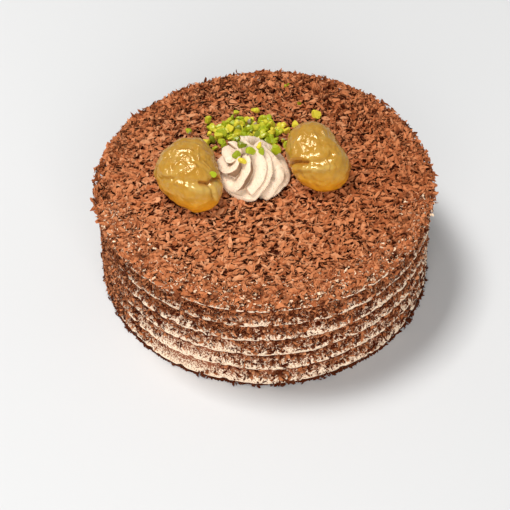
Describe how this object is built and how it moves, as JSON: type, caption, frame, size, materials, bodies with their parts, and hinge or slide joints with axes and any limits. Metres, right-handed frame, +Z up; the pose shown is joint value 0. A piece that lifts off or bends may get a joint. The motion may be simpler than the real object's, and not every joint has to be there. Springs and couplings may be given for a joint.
{
  "type": "chocolate chestnut cake",
  "caption": "Round whole cake with a combed cream side, covered in chocolate shavings, topped with a piped cream rosette, candied chestnuts and chopped pistachios.",
  "frame": {"origin": "centre of the flat base", "axes": "+Z up out of the top, -Y towards the front as pictured, +X to the viewer's right"},
  "size_m": [0.1995, 0.1988, 0.0969],
  "materials": {
    "chocolate": "milk chocolate shavings, dull and flaky",
    "cream": "smooth pale chestnut cream",
    "candied_chestnut": "amber, wet with syrup",
    "pistachio": "chopped nut, soft sheen"
  },
  "bodies": {
    "root": {"cake": "chocolate", "cream_rosette": "cream", "chestnut_left": "candied_chestnut", "chestnut_right": "candied_chestnut", "pistachio_heap": "pistachio"}
  },
  "joints": []
}
